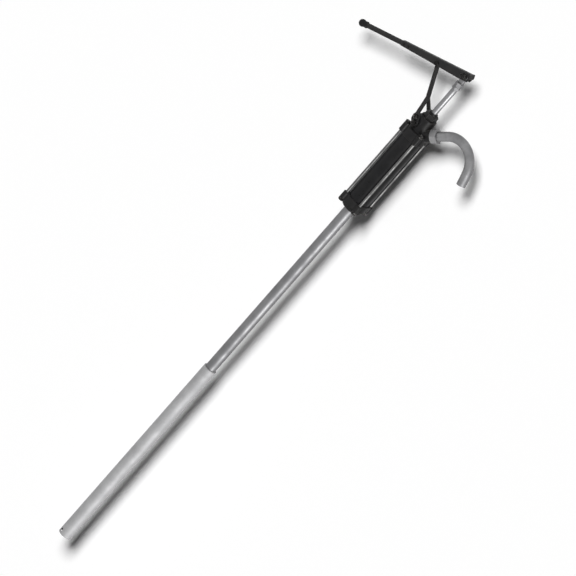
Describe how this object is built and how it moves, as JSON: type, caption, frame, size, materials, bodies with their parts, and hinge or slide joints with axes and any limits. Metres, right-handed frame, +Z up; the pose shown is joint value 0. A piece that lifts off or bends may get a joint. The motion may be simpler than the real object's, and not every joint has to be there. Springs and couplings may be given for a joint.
{
  "type": "drum barrel pump",
  "caption": "Hand lever pump for a drum: tie-rod barrel between two castings, pinned lever on a forked arm, hooked spout, telescopic suction tube.",
  "frame": {"origin": "on the pump axis at the underside of the lower cap, where the pump sits in the drum opening", "axes": "+Z up along the pump axis, +X towards the spout, the handle on the -X side, +Y along the pivot pins"},
  "size_m": [0.3812, 0.056, 1.2414],
  "materials": {
    "black_paint": "black paint on cast iron",
    "barrel_paint": "black enamel on a drawn steel barrel",
    "lever_paint": "black paint on pressed steel, worn at the edges",
    "dark_steel": "dark oiled steel fasteners",
    "tie_steel": "drawn steel tie rods",
    "steel": "ground steel",
    "zinc_tube": "drawn steel tube with zinc plating",
    "bright_zinc": "plated steel",
    "brass": "turned brass",
    "cup_leather": "oiled cup leather",
    "rubber": "oil-proof nitrile rubber and graphite packing",
    "knob": "moulded black plastic"
  },
  "bodies": {
    "pump": {"suction_tube_upper": "zinc_tube", "slip_ring": "brass", "slip_seal": "rubber", "lower_cap": "black_paint", "cap_gasket": "rubber", "inlet_seat": "brass", "ball_cage": "brass", "barrel": "barrel_paint", "head_gasket": "rubber", "tie_rods": "tie_steel", "tie_nuts_top": "dark_steel", "tie_nuts_bottom": "dark_steel", "tie_washers_top": "dark_steel", "tie_washers_bottom": "dark_steel", "head_casting": "black_paint", "rod_bush": "brass", "gland_packing": "rubber", "gland_nut": "black_paint", "spout": "bright_zinc", "spout_nut": "bright_zinc", "spout_seal": "rubber", "fulcrum_arm": "lever_paint", "arm_bolts": "dark_steel", "arm_washers": "dark_steel"},
    "lever": {"lever_channel": "lever_paint", "handle_bar": "lever_paint", "handle_rivets": "dark_steel", "handle_knob": "knob", "fulcrum_pin": "dark_steel", "fulcrum_clip": "dark_steel", "fulcrum_spacers": "brass"},
    "rod": {"piston_rod": "steel", "piston": "brass", "piston_cup_upper": "cup_leather", "piston_cup_lower": "cup_leather", "valve_stop": "steel", "piston_nut": "steel", "rod_locknut": "bright_zinc", "rod_eye": "bright_zinc", "rod_pin": "dark_steel", "rod_pin_washers": "dark_steel", "rod_pin_clips": "dark_steel"},
    "piston_disc": {"piston_valve": "steel"},
    "inlet_valve": {"inlet_ball": "steel"},
    "lower_tube": {"suction_tube_lower": "zinc_tube", "guide_bush": "zinc_tube"}
  },
  "joints": [
    {"name": "lever_pivot", "type": "hinge", "parent": "pump", "child": "lever", "pos_m": [-0.06, 0, 0.32376], "axis": [0, 1, 0], "range_deg": [-6, 50]},
    {"name": "rod_slide", "type": "slide", "parent": "pump", "child": "rod", "axis": [0, 0, 1], "range_m": [-0.0553, 0.0067]},
    {"name": "piston_valve_lift", "type": "slide", "parent": "rod", "child": "piston_disc", "axis": [0, 0, 1], "range_m": [0, 0.003]},
    {"name": "inlet_valve_lift", "type": "slide", "parent": "pump", "child": "inlet_valve", "axis": [0, 0, 1], "range_m": [0, 0.0034]},
    {"name": "tube_draw", "type": "slide", "parent": "pump", "child": "lower_tube", "axis": [0, 0, 1], "range_m": [0, 0.33]}
  ],
  "couplings": [
    {"joint": "rod_slide", "follows": "lever_pivot", "m_per_rad": -0.0633}
  ]
}
